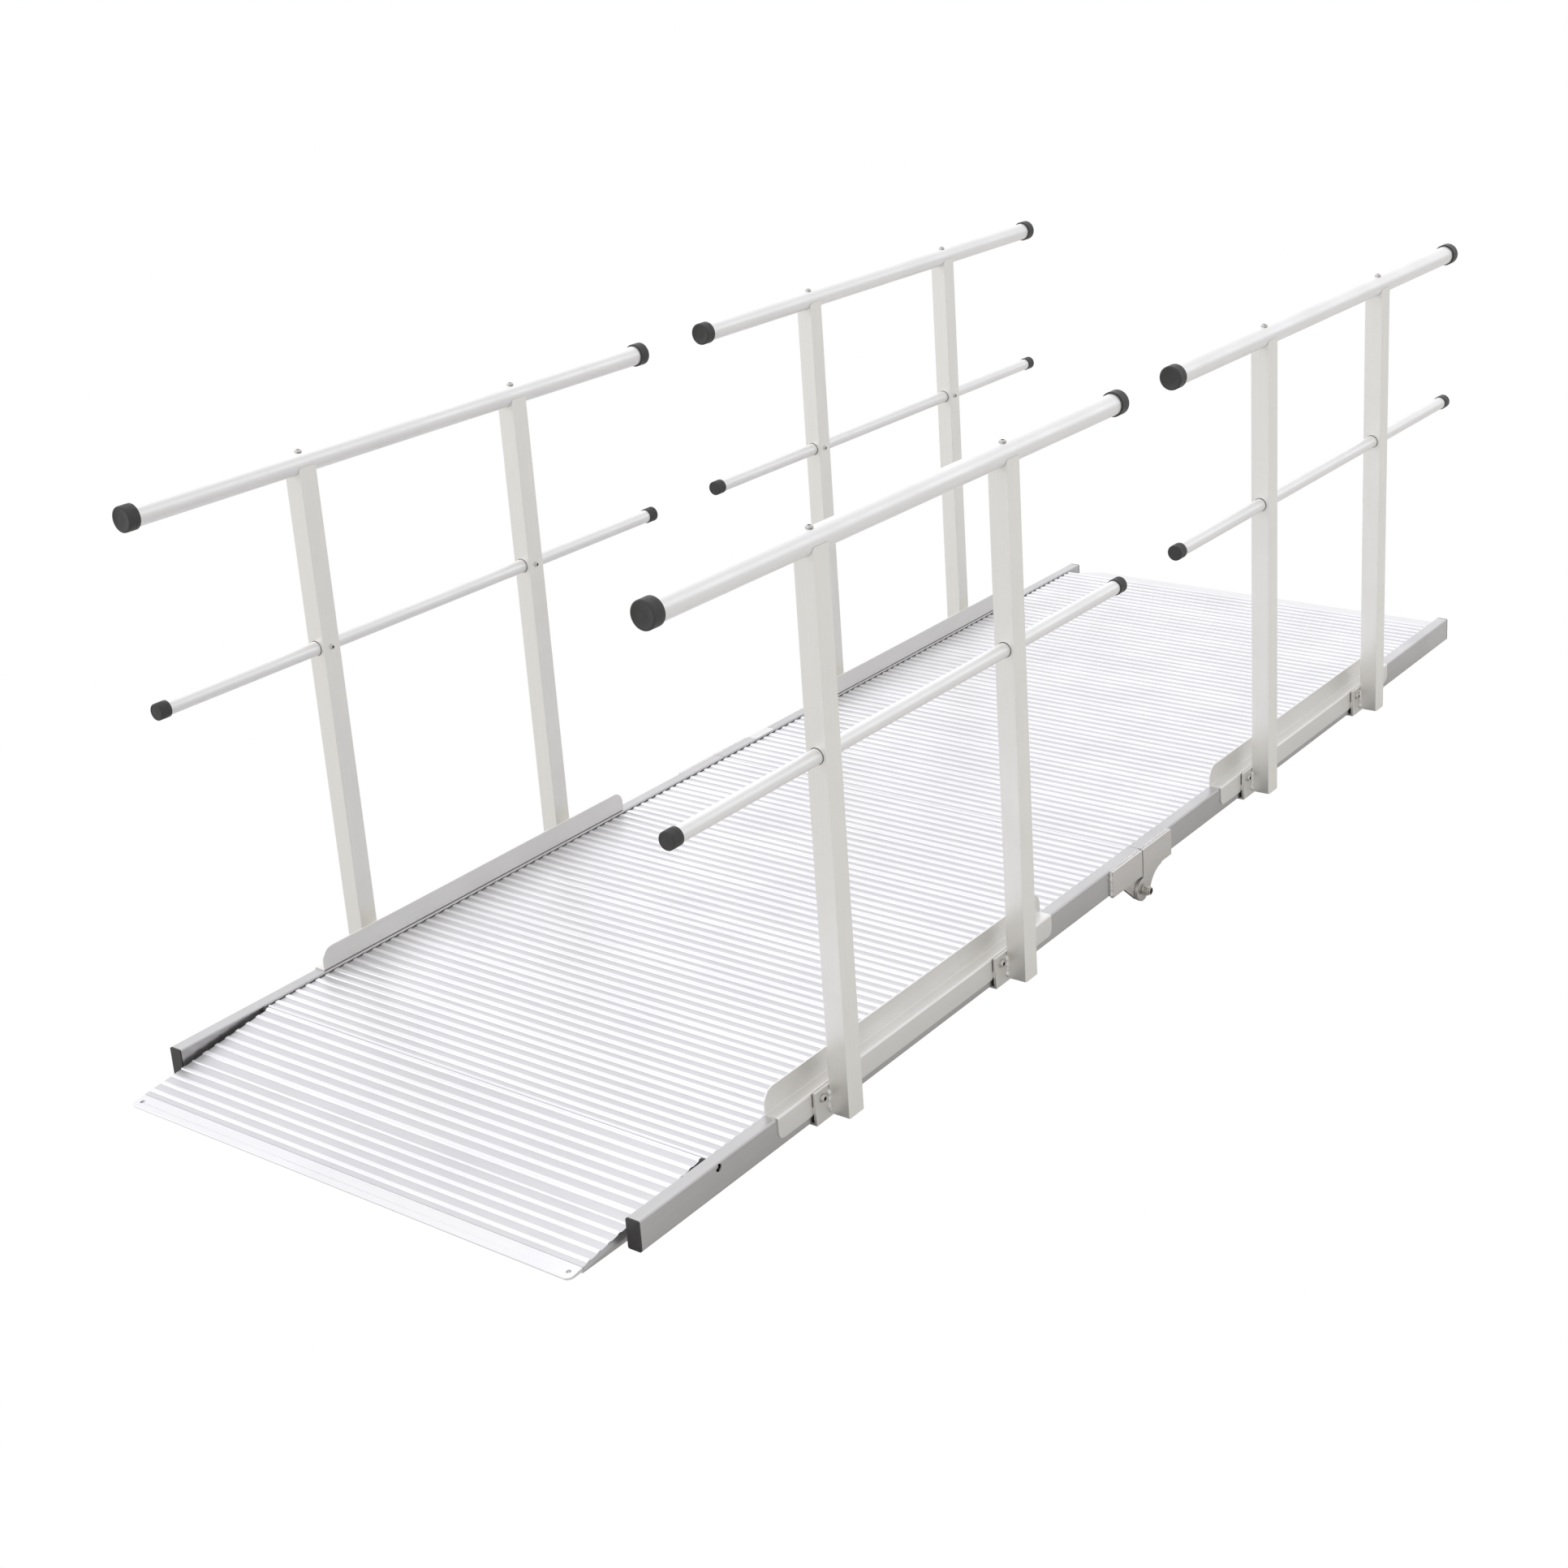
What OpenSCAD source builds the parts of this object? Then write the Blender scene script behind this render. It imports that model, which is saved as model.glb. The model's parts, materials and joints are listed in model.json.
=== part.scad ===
// Two-panel folding wheelchair ramp with four clamp-on handrail units.
// X runs across the ramp, +Y runs up it, +Z is up.
// Drawn from the seam (y = 0) and the rails' top face (z = 0), then moved by placed().

/* [Deck] */
// Clear width between the side rails
clear_w = 766; // [600:1:900]
// Length of deck that one plank covers
plank_pitch = 125; // [110:1:140]
// Number of planks in the front panel
front_planks = 8; // [7:1:9]
// Number of planks in the rear panel
rear_planks = 9; // [8:1:9]
// Thickness of a plank without its ribs
plank_t = 25; // [20:1:30]
// Depth of the deck's face below the rails' top
deck_drop = 4; // [3:0.5:6]
// Height of an anti-slip rib
rib_h = 1.6; // [0.8:0.1:2.4]
// Width of a rib at its foot
rib_w = 7.6; // [5:0.1:9]
// Gap between a plank's end and the rail
plank_end_gap = 1.5; // [0.5:0.5:6]

/* [Side rails] */
// Width of the rail tube
rail_w = 20; // [18:1:25]
// Height of the rail tube
rail_h = 40; // [38:1:50]
// Wall of the rail tube
rail_wall = 2; // [1.5:0.5:3]
// Rails' reach in front of the seam, plug included
front_rail_l = 1148; // [1120:1:1180]
// Rails' reach behind the seam, plug included
rear_rail_l = 1169; // [1150:1:1200]

/* [Front flap] */
// Slope of the flap below the deck, in degrees
flap_slope = 6.6; // [4:0.1:10]
// Length of the flap from its axis to its front edge
flap_l = 236; // [220:1:250]
// Width of the flap
flap_w = 752; // [580:1:756]
// Radius of the hinge rod
rod_r = 3; // [2.5:0.1:3.2]

/* [Rear lip] */
// Slope of the lip below the deck, in degrees
lip_slope = 15; // [10:1:20]
// Length of the sloping leg
lip_l = 107; // [90:1:120]
// Thickness of the lip plate
lip_t = 3.5; // [3:0.5:5]
// Width of the lip
lip_w = 746; // [580:1:756]

/* [Fold hinge] */
// Depth of the fold axis below the rails
pivot_drop = 25; // [24:1:30]
// Radius of the rear arm around the fold axis
arm_r = 18; // [15:1:20]
// Thickness of the hinge plates
plate_t = 5; // [4:0.5:6]
// Radius of the pivot bolt
pivot_r = 4; // [3:0.5:5]

/* [Kerb guards] */
// Length of a guard
guard_l = 635; // [600:5:640]
// Distance from the seam to the near end of a guard
guard_gap = 257; // [240:1:260]
// Height of the upright above the rail
guard_up = 33; // [25:1:40]
// Depth of the outer flange below the rail's top
guard_down = 29; // [25:1:32]
// Thickness of the folded sheet
guard_t = 2; // [1.5:0.5:3]

/* [Handrail units] */
// Side of the square post
post_w = 30; // [28:1:32]
// Distance from a guard's end to the nearer post
post_inset = 96.5; // [90:0.5:100]
// Height of the top rail's axis above the side rail
top_z = 697.4; // [600:0.1:800]
// Radius of the top rail
top_r = 15; // [14:0.5:16]
// Length of the top rail with its caps
top_l = 1002; // [940:1:1020]
// Height of the lower rail's axis above the side rail
low_z = 438.7; // [350:0.1:500]
// Radius of the lower rail
low_r = 10; // [9:0.5:12]
// Length of the lower rail with its caps
low_l = 991; // [940:1:1020]
// Length of an end cap
cap_l = 17.7; // [12:0.1:25]

/* [Hidden] */
$fn = 48;

// Faces of the rails
rail_in = clear_w / 2;
rail_out = rail_in + rail_w;
rail_corner = 2.5;
plug_t = 2;
plug_spigot = 14;
plug_fit = 0.1;
plug_wall = 2;
seam_half = 0.5;

// Planks
plank_w = clear_w - 2 * plank_end_gap;
ribs_between = 6;
edge_rib_in = 17;
rib_step = (plank_pitch - 2 * edge_rib_in) / (ribs_between - 1);
rib_chamfer = 1;
joint_rib_w = 9.4;
skin_t = 1.8;
end_web = 6;
mid_web = 1.6;
joint_gap = 0.3;
tongue_l = 3;
tongue_h = 4;
ledge_w = 20;
ledge_t = 3;
ledge_leg = 10;
plank_z = -deck_drop - plank_t;

// Front flap
rod_ahead = 4.5;
rod_y = -(front_planks * plank_pitch + rod_ahead);
rod_z = -6.5;
rod_clear = 0.05;
knuckle_r = 4.7;
flap_top = 2.2;
flap_t = 9;
flap_rib_h = 1.4;
flap_split = 111;
flap_joint_gap = 0.15;
flap_joint_rib_w = 9;
nosing_start = 212;
nosing_t = 5;
nose_r = 1.5;
corner_r = 9;
fix_hole_r = 3;
fix_hole_x = 366;
fix_hole_in = 11;
skirt_t = 3;
rod_hole_r = 5;
knuckle_gap = 0.4;
first_plank_cut = -rod_y - knuckle_r - knuckle_gap;

// Fold hinge
pivot_z = -(rail_h + pivot_drop);
lug_r = arm_r - 1;
lug_gap = 0.3;
pivot_clear = 0.05;
front_plate_l = 89;
rear_plate_l = 88;
plate_top = -1.5;
plate_low = -42.5;
plate_gap = 1;
lug_t = 6;
head_l = 5.3;
collar_r = 7;
collar_t = 2.8;
washer_r = 8.5;
washer_t = 1.6;
nut_af = 13;
nut_hex_l = 6.2;
nut_l = 8.5;
bolt_recess = 2;

// Kerb guards
guard_in = rail_in + 1.5;
bend_in = 1;
bend_out = bend_in + guard_t;
guard_top_r = 18;
guard_low_r = 11;

// Handrail units
bracket_t = 4;
bracket_gap = 1;
bracket_over = 28;
post_in = rail_out + guard_t + bracket_gap + bracket_t;
post_x = post_in + post_w / 2;
post_wall = 2;
post_low = -38;
post_ys = [post_inset + post_w / 2, guard_l - post_inset - post_w / 2];
tube_wall = 2;
saddle_gap = 0.25;
low_gap = 0.75;
cap_t = 3;
cap_wall = 2.5;
low_cap_wall = 1.5;
low_tube_wall = 1.5;
cap_fit = 0.05;
clamp_r = 3;
clamp_fit = 0.1;
clamp_z = -10;
clamp_y = (post_w + bracket_over) / 2;
clamp_l = 9.8;
screw_r = 2.5;
pin_r = 2;
plug_h = 22;
plug_top_gap = 2;
screw_l = 50;
screw_head_r = 5;
screw_head_h = 3.2;
side_screw_l = 9;
side_head_r = 3.8;
side_head_h = 2.4;
screw_seat = 0.05;

// The frame's origin is the middle of the footprint, at the hinge arms' lowest point
front_reach = nose_r - rod_y + (flap_l - nose_r) * cos(flap_slope) + (flap_top - nose_r) * sin(flap_slope);
lip_y = rear_planks * plank_pitch + joint_gap;
rear_reach = lip_y + lip_l * cos(lip_slope);
seam_y = (front_reach - rear_reach) / 2;
rails_top = arm_r - pivot_z;

// Helpers: move to the frame, extrude across or along the ramp, mirror to both sides
module placed() {
  translate([0, seam_y, rails_top]) children();
}

module across(x0, x1) {
  translate([x0, 0, 0]) rotate([90, 0, 90]) linear_extrude(x1 - x0) children();
}

module along(y0, y1) {
  translate([0, y1, 0]) rotate([90, 0, 0]) linear_extrude(y1 - y0) children();
}

module both_sides() {
  children();
  mirror([1, 0, 0]) children();
}

module rod_along_x(r, x0, x1) {
  translate([x0, 0, 0]) rotate([0, 90, 0]) cylinder(r = r, h = x1 - x0);
}

module rod_along_y(r, y0, y1) {
  translate([0, y1, 0]) rotate([90, 0, 0]) cylinder(r = r, h = y1 - y0);
}

// A square with four round corners, drawn from true arcs
module soft_square(w, h, r) {
  translate([r, 0]) square([w - 2 * r, h]);
  translate([0, r]) square([w, h - 2 * r]);
  for (x = [r, w - r], y = [r, h - r]) translate([x, y]) circle(r);
}

// ---- Side rails ----

module rail_section() {
  translate([rail_in, -rail_h]) difference() {
    soft_square(rail_w, rail_h, rail_corner);
    translate([rail_wall, rail_wall]) square([rail_w - 2 * rail_wall, rail_h - 2 * rail_wall]);
  }
}

// Clearance holes for the clamp bolts of one panel, at the rail's outer wall
module clamp_holes(guard_y, r) {
  for (py = post_ys, side = [-1, 1])
    translate([0, guard_y + py + side * clamp_y, clamp_z])
      rod_along_x(r, rail_out - rail_wall - 1, post_in + 1);
}

module front_rail() {
  difference() {
    along(-front_rail_l + plug_t, -seam_half) rail_section();
    translate([0, rod_y, rod_z]) rod_along_x(rod_r + rod_clear, rail_in - 1, rail_in + rail_wall + 1);
    translate([0, rod_y, rod_z]) rod_along_x(rod_hole_r, rail_out - rail_wall - 1, rail_out + 1);
    clamp_holes(-guard_gap - guard_l, clamp_r + clamp_fit);
  }
}

module rear_rail() {
  difference() {
    along(seam_half, rear_rail_l - plug_t) rail_section();
    clamp_holes(guard_gap, clamp_r + clamp_fit);
  }
}

module front_rail_left() { color("silver") placed() mirror([1, 0, 0]) front_rail(); }
module front_rail_right() { color("silver") placed() front_rail(); }
module rear_rail_left() { color("silver") placed() mirror([1, 0, 0]) rear_rail(); }
module rear_rail_right() { color("silver") placed() rear_rail(); }

// A push-in plug: a flange as wide as the tube and a hollow spigot
module rail_plug() {
  inset = rail_wall + plug_fit;
  w = rail_w - 2 * inset;
  h = rail_h - 2 * inset;
  along(0, plug_t) translate([rail_in, -rail_h]) soft_square(rail_w, rail_h, rail_corner);
  along(plug_t, plug_t + plug_spigot) translate([rail_in + inset, inset - rail_h]) difference() {
    square([w, h]);
    translate([plug_wall, plug_wall]) square([w - 2 * plug_wall, h - 2 * plug_wall]);
  }
}

module front_rail_plugs() {
  color("#2b2a29") placed() both_sides() translate([0, -front_rail_l, 0]) rail_plug();
}

module rear_rail_plugs() {
  color("#2b2a29") placed() both_sides() translate([0, rear_rail_l, 0]) mirror([0, 1, 0]) rail_plug();
}

// ---- Deck planks and the ledges that carry them ----

module ledge(y0, y1) {
  along(y0, y1) {
    translate([rail_in - ledge_w, plank_z - ledge_t]) square([ledge_w, ledge_t]);
    translate([rail_in - ledge_t, plank_z - ledge_leg]) square([ledge_t, ledge_leg]);
  }
}

module front_ledges() { color("silver") placed() both_sides() ledge(-first_plank_cut, -seam_half); }
module rear_ledges() { color("silver") placed() both_sides() ledge(seam_half, rear_planks * plank_pitch); }

module rib(y, w) {
  top_w = w - 2 * rib_chamfer;
  polygon([
    [y - w / 2, -0.2], [y + w / 2, -0.2], [y + w / 2, 0],
    [y + top_w / 2, rib_h], [y - top_w / 2, rib_h], [y - w / 2, 0]
  ]);
}

// One plank's section, from y = 0 to plank_pitch with its face at z = 0
module plank_section(start, tongue, groove) {
  y0 = start + joint_gap / 2;
  y1 = plank_pitch - joint_gap / 2;
  chamber = (y1 - y0 - 2 * end_web - 2 * mid_web) / 3;
  inner_h = plank_t - 2 * skin_t;
  mid_z = -plank_t / 2;
  difference() {
    union() {
      translate([y0, -plank_t]) square([y1 - y0, plank_t]);
      for (k = [0 : ribs_between - 1]) rib(edge_rib_in + k * rib_step, rib_w);
      // the planks on either side of a joint share its wider rib
      intersection() {
        union() {
          if (start < 1) rib(0, joint_rib_w);
          rib(plank_pitch, joint_rib_w);
        }
        translate([y0, -1]) square([y1 - y0, rib_h + 2]);
      }
      if (tongue) translate([y0 - tongue_l, mid_z - tongue_h / 2]) square([tongue_l + 1, tongue_h]);
    }
    for (k = [0 : 2])
      translate([y0 + end_web + k * (chamber + mid_web), -plank_t + skin_t]) square([chamber, inner_h]);
    if (groove)
      translate([y1 - tongue_l - joint_gap, mid_z - tongue_h / 2 - joint_gap])
        square([tongue_l + joint_gap + 1, tongue_h + 2 * joint_gap]);
  }
}

module plank(start, tongue, groove) {
  translate([0, 0, -deck_drop]) across(-plank_w / 2, plank_w / 2) plank_section(start, tongue, groove);
}

// Planks are numbered up the ramp; the one beside the flap is cut short for the flap's knuckle
module front_plank(n) {
  color("gainsboro") placed() translate([0, -(front_planks + 1 - n) * plank_pitch, 0])
    plank(n == 1 ? front_planks * plank_pitch - first_plank_cut : 0, n > 1, n < front_planks);
}

module rear_plank(n) {
  color("gainsboro") placed() translate([0, (n - 1) * plank_pitch, 0])
    plank(n == 1 ? seam_half - joint_gap / 2 : 0, n > 1, n < rear_planks);
}

// ---- Front flap ----

module on_flap() {
  placed() translate([0, rod_y, rod_z]) rotate([flap_slope, 0, 0]) children();
}

module flap_rod() {
  color("silver") placed() translate([0, rod_y, rod_z])
    rod_along_x(rod_r, -(rail_out - rail_wall - 1), rail_out - rail_wall - 1);
}

module flap_spacers() {
  color("#2b2a29") placed() both_sides() translate([0, rod_y, rod_z]) difference() {
    rod_along_x(knuckle_r, flap_w / 2 + 0.3, rail_in - 0.2);
    rod_along_x(rod_r + rod_clear, flap_w / 2 - 1, rail_in + 1);
  }
}

module flap_rib(y, w) {
  translate([-y, flap_top]) polygon([
    [-w / 2, -0.2], [w / 2, -0.2], [w / 2, 0],
    [w / 2 - 0.8, flap_rib_h], [0.8 - w / 2, flap_rib_h], [-w / 2, 0]
  ]);
}

// The half of the joint's wider rib that stands ahead of y
module flap_joint_rib(y) {
  intersection() {
    flap_rib(flap_split, flap_joint_rib_w);
    translate([y, flap_top - 1]) square([flap_joint_rib_w, flap_rib_h + 2]);
  }
}

// Underside of the flap, which thins towards the nosing
function flap_under(y) = y < flap_split ? flap_top - flap_t
  : flap_top - flap_t + (flap_t - nosing_t) * (y - flap_split) / (nosing_start - flap_split);

module flap_rear_plank() {
  first_rib = 18.5;
  step = 18.2;
  heel = 4;
  chamber = 46.5;
  front = flap_split - flap_joint_gap;
  color("gainsboro") on_flap() across(-flap_w / 2, flap_w / 2) difference() {
    union() {
      circle(knuckle_r);
      translate([-front, flap_top - flap_t]) square([front - heel, flap_t]);
      for (k = [0 : 4]) flap_rib(first_rib + k * step, 7);
      flap_joint_rib(-front);
    }
    circle(rod_r + rod_clear);
    for (k = [0 : 1])
      translate([-flap_split + 8 + k * (chamber + 2), flap_top - flap_t + skin_t])
        square([chamber, flap_t - 2 * skin_t]);
  }
}

module flap_front_plank() {
  first_rib = 148.5;
  step = 17.6;
  narrow_rib = 131.5;
  y0 = flap_split + flap_joint_gap;
  y1 = nosing_start - flap_joint_gap;
  color("gainsboro") on_flap() across(-flap_w / 2, flap_w / 2) difference() {
    union() {
      polygon([[-y1, flap_top], [-y1, flap_under(y1)], [-y0, flap_under(y0)], [-y0, flap_top]]);
      flap_joint_rib(-y0 - flap_joint_rib_w);
      flap_rib(narrow_rib, 3.4);
      for (k = [0 : 3]) flap_rib(first_rib + k * step, 6.4);
    }
    polygon([
      [-y0 - 42, flap_top - skin_t], [-y0 - 42, flap_under(y0 + 42) + skin_t],
      [-y0 - 5, flap_under(y0 + 5) + skin_t], [-y0 - 5, flap_top - skin_t]
    ]);
  }
}

module flap_nosing() {
  y0 = nosing_start + flap_joint_gap;
  color("gainsboro") placed() difference() {
    translate([0, rod_y, rod_z]) rotate([flap_slope, 0, 0]) intersection() {
      across(-flap_w / 2, flap_w / 2) {
        polygon([
          [nose_r - flap_l, flap_top], [nose_r - flap_l, flap_top - 2 * nose_r],
          [-y0, flap_under(nosing_start)], [-y0, flap_top]
        ]);
        translate([nose_r - flap_l, flap_top - nose_r]) circle(nose_r);
      }
      translate([0, 0, -20]) linear_extrude(40) {
        translate([-flap_w / 2, -flap_l + corner_r]) square([flap_w, flap_l]);
        translate([-flap_w / 2 + corner_r, -flap_l]) square([flap_w - 2 * corner_r, flap_l]);
        for (x = [-1, 1]) translate([x * (flap_w / 2 - corner_r), -flap_l + corner_r]) circle(corner_r);
      }
    }
    for (x = [-1, 1])
      translate([x * fix_hole_x, rod_y - (flap_l - fix_hole_in) * cos(flap_slope), -60])
        cylinder(r = fix_hole_r, h = 60);
  }
}

// Wedge-shaped side plates under the flap's edges
module flap_skirts() {
  back_y = 45;
  deep_y = 70;
  deep_z = -24;
  nose_y = flap_l - 22;
  color("silver") on_flap() both_sides() across(flap_w / 2 - skirt_t, flap_w / 2) polygon([
    [-back_y, flap_under(back_y)], [-deep_y, deep_z], [-nose_y, flap_under(nosing_start) - 2],
    [-nosing_start, flap_under(nosing_start)], [-flap_split, flap_under(flap_split)]
  ]);
}

// ---- Rear lip: a bent plate on the last plank's rear face ----

module rear_lip() {
  leg_h = 20;
  color("gainsboro") placed() across(-lip_w / 2, lip_w / 2) translate([lip_y, -deck_drop]) {
    polygon([
      [0, 0], [lip_l * cos(lip_slope), -lip_l * sin(lip_slope)],
      [lip_l * cos(lip_slope) - lip_t * sin(lip_slope), -lip_l * sin(lip_slope) - lip_t * cos(lip_slope)],
      [lip_t, -lip_t / cos(lip_slope) - lip_t * tan(lip_slope)], [lip_t, -leg_h], [0, -leg_h]
    ]);
  }
}

// ---- Fold hinge ----

module front_hinge_plates() {
  color("darkgray") placed() both_sides() across(rail_out, rail_out + plate_t)
    translate([-front_plate_l, plate_low]) square([front_plate_l - plate_gap, plate_top - plate_low]);
}

// Lugs under the front rails, between the rails' outer faces and the rear arms
module front_hinge_lugs() {
  root_y = -55;
  reach = norm([root_y, pivot_drop]);
  slope = atan2(-pivot_drop, -root_y) - asin(lug_r / reach);
  run = sqrt(reach * reach - lug_r * lug_r);
  x1 = rail_out - lug_gap;
  color("darkgray") placed() both_sides() across(x1 - lug_t, x1) difference() {
    union() {
      translate([0, pivot_z]) circle(lug_r);
      polygon([
        [root_y, -rail_h], [-2, -rail_h], [lug_r * cos(30), pivot_z + lug_r * sin(30)], [0, pivot_z],
        [root_y + run * cos(slope), -rail_h + run * sin(slope)]
      ]);
    }
    translate([0, pivot_z]) circle(pivot_r + pivot_clear);
  }
}

// Plates welded on the rear rails, with curved arms down to the fold axis
module rear_hinge_arms() {
  hollow_y = 60;
  hollow_z = -86;
  hollow_r = 41.5;
  heel_y = 22;
  heel_z = -78;
  color("darkgray") placed() both_sides() across(rail_out, rail_out + plate_t) difference() {
    union() {
      translate([plate_gap, plate_low]) square([rear_plate_l - plate_gap, plate_top - plate_low]);
      translate([0, pivot_z]) circle(arm_r);
      polygon([
        [plate_gap, plate_low + 1], [plate_gap, pivot_z], [heel_y - 10, heel_z], [heel_y, heel_z],
        [hollow_y, plate_low + 1]
      ]);
    }
    translate([hollow_y, hollow_z]) circle(hollow_r);
    translate([0, pivot_z]) circle(pivot_r + pivot_clear);
  }
}

// Pivot stack, outwards: bolt head, lug, arm, collar, washer, nut
collar_x = rail_out + plate_t + lug_gap;
washer_x = collar_x + collar_t;
nut_x = washer_x + washer_t;

module hexagon_along_x(l) {
  rotate([0, 90, 0]) cylinder(d = nut_af / cos(30), h = l, $fn = 6);
}

module at_pivots() {
  placed() both_sides() translate([0, 0, pivot_z]) children();
}

module pivot_bolts() {
  head_x = rail_out - lug_gap - lug_t - 0.1;
  color("silver") at_pivots() {
    rod_along_x(pivot_r, head_x, nut_x + nut_l - bolt_recess);
    translate([head_x - head_l, 0, 0]) hexagon_along_x(head_l);
  }
}

module pivot_washers() {
  color("silver") at_pivots() difference() {
    union() {
      rod_along_x(collar_r, collar_x, washer_x);
      rod_along_x(washer_r, washer_x, nut_x);
    }
    rod_along_x(pivot_r + pivot_clear, collar_x - 1, nut_x + 1);
  }
}

module pivot_nuts() {
  color("silver") at_pivots() difference() {
    union() {
      translate([nut_x, 0, 0]) hexagon_along_x(nut_hex_l);
      rod_along_x(nut_af / 2 - 0.3, nut_x + nut_hex_l - 1, nut_x + nut_l);
    }
    rod_along_x(pivot_r + pivot_clear, nut_x - 1, nut_x + nut_l + 1);
  }
}

// ---- Kerb guards: Z-shaped sheet over the rail ----

module guard_section() {
  out_x = rail_out + guard_t;
  // upright and its bend into the web
  translate([guard_in, bend_out]) square([guard_t, guard_up - bend_out]);
  translate([guard_in + bend_out, bend_out]) quarter_bend(180);
  translate([guard_in + bend_out, 0]) square([out_x - bend_out - guard_in - bend_out, guard_t]);
  // bend into the outer flange, and the flange
  translate([out_x - bend_out, guard_t - bend_out]) quarter_bend(0);
  translate([rail_out, -guard_down]) square([guard_t, guard_down + guard_t - bend_out]);
}

// A quarter of a ring; turn 0 is the upper right quarter
module quarter_bend(turn) {
  rotate(turn) intersection() {
    difference() {
      circle(bend_out);
      circle(bend_in);
    }
    square(bend_out);
  }
}

// What is cut away to round a corner at the origin, the sheet being in the +Y +Z quarter
module corner_cut(r) {
  difference() {
    translate([-1, -1]) square(r + 1);
    translate([r, r]) circle(r);
  }
}

module guard(y0) {
  y1 = y0 + guard_l;
  difference() {
    along(y0, y1) guard_section();
    across(guard_in - 1, guard_in + guard_t + 0.9) {
      translate([y0, guard_up]) mirror([0, 1]) corner_cut(guard_top_r);
      translate([y1, guard_up]) rotate(180) corner_cut(guard_top_r);
    }
    across(rail_out - 1, rail_out + guard_t + 1) {
      translate([y0, -guard_down]) corner_cut(guard_low_r);
      translate([y1, -guard_down]) mirror([1, 0]) corner_cut(guard_low_r);
    }
    clamp_holes(y0, clamp_r + clamp_fit);
  }
}

front_guard_y = -guard_gap - guard_l;
rear_guard_y = guard_gap;

module front_guard_left() { color("lightgray") placed() mirror([1, 0, 0]) guard(front_guard_y); }
module front_guard_right() { color("lightgray") placed() guard(front_guard_y); }
module rear_guard_left() { color("lightgray") placed() mirror([1, 0, 0]) guard(rear_guard_y); }
module rear_guard_right() { color("lightgray") placed() guard(rear_guard_y); }

// ---- Posts, brackets and clamp bolts ----

module at_posts(guard_y) {
  placed() both_sides() for (py = post_ys) translate([post_x, guard_y + py, 0]) children();
}

module post() {
  half = post_w / 2;
  difference() {
    translate([-half, -half, post_low]) linear_extrude(top_z - post_low) difference() {
      soft_square(post_w, post_w, 1.5);
      translate([post_wall, post_wall]) square(post_w - 2 * post_wall);
    }
    translate([0, 0, top_z]) rod_along_y(top_r + saddle_gap, -post_w, post_w);
    translate([0, 0, low_z]) rod_along_y(low_r + low_gap, -post_w, post_w);
    translate([0, 0, low_z]) rod_along_x(pin_r + clamp_fit, -post_w, -low_r);
  }
}

module front_posts() { color("#d9d6cf") at_posts(front_guard_y) post(); }
module rear_posts() { color("#d9d6cf") at_posts(rear_guard_y) post(); }

// Blocks inside the posts' tops that the top rails' screws bite into
module post_plug() {
  side = post_w - 2 * post_wall - 0.2;
  top = top_z - top_r - plug_top_gap;
  translate([0, 0, top - plug_h]) linear_extrude(plug_h) difference() {
    translate([-side / 2, -side / 2]) square(side);
    circle(screw_r + clamp_fit);
  }
}

module front_post_plugs() { color("#2b2a29") at_posts(front_guard_y) post_plug(); }
module rear_post_plugs() { color("#2b2a29") at_posts(rear_guard_y) post_plug(); }

// Clamp bracket: a plate behind the post with a pad against the guard and a lip under the rail
module bracket() {
  half = post_w / 2 + bracket_over;
  x_in = post_in - bracket_t - post_x;
  lip_low = -43;
  lip_reach = 10;
  lip_in = rail_out - lip_reach - post_x;
  pad_low = -27;
  pad_h = 9;
  difference() {
    union() {
      translate([x_in, -half, lip_low]) cube([bracket_t, 2 * half, guard_t - lip_low]);
      translate([lip_in, -half, lip_low]) cube([x_in - lip_in, 2 * half, -rail_h - lip_low - 0.1]);
      translate([x_in - bracket_gap, -half, pad_low]) cube([bracket_gap, 2 * half, pad_h]);
    }
    for (side = [-1, 1]) translate([x_in, side * clamp_y, clamp_z])
      rod_along_x(clamp_r + clamp_fit, -2, bracket_t + 2);
  }
}

module front_brackets() { color("darkgray") at_posts(front_guard_y) bracket(); }
module rear_brackets() { color("darkgray") at_posts(rear_guard_y) bracket(); }

// Button-head bolt with a washer face and a hexagon socket
module clamp_bolt() {
  x0 = post_in - post_x;
  face_r = 6.2;
  face_t = 1.2;
  head_r = 5;
  dome_l = 3.3;
  socket_l = 2;
  difference() {
    union() {
      translate([x0, 0, 0]) rod_along_x(face_r, 0, face_t);
      translate([x0 + face_t, 0, 0]) rotate([0, 90, 0]) rotate_extrude() polygon([
        [0, 0], [head_r, 0], [head_r, 0.6], [head_r - 0.8, 1.9], [head_r - 2, dome_l], [0, dome_l]
      ]);
      translate([x0, 0, 0]) rod_along_x(clamp_r, -clamp_l, 0.5);
    }
    translate([x0 + face_t + dome_l - socket_l, 0, 0]) rotate([0, 90, 0])
      cylinder(r = clamp_r * 0.77, h = socket_l + 1, $fn = 6);
  }
}

module clamp_bolts(guard_y) {
  at_posts(guard_y) for (side = [-1, 1])
    translate([0, side * clamp_y, clamp_z]) clamp_bolt();
}

module front_clamp_bolts() { color("silver") clamp_bolts(front_guard_y); }
module rear_clamp_bolts() { color("silver") clamp_bolts(rear_guard_y); }

// ---- Round rails, caps and screws ----

module top_rail(guard_y) {
  mid = guard_y + guard_l / 2;
  difference() {
    translate([post_x, mid, top_z]) difference() {
      rod_along_y(top_r, -top_l / 2 + cap_t, top_l / 2 - cap_t);
      rod_along_y(top_r - tube_wall, -top_l / 2, top_l / 2);
    }
    for (py = post_ys) translate([post_x, guard_y + py, top_z - top_r - 1])
      cylinder(r = screw_r + clamp_fit, h = 2 * top_r + 2);
  }
}

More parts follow.
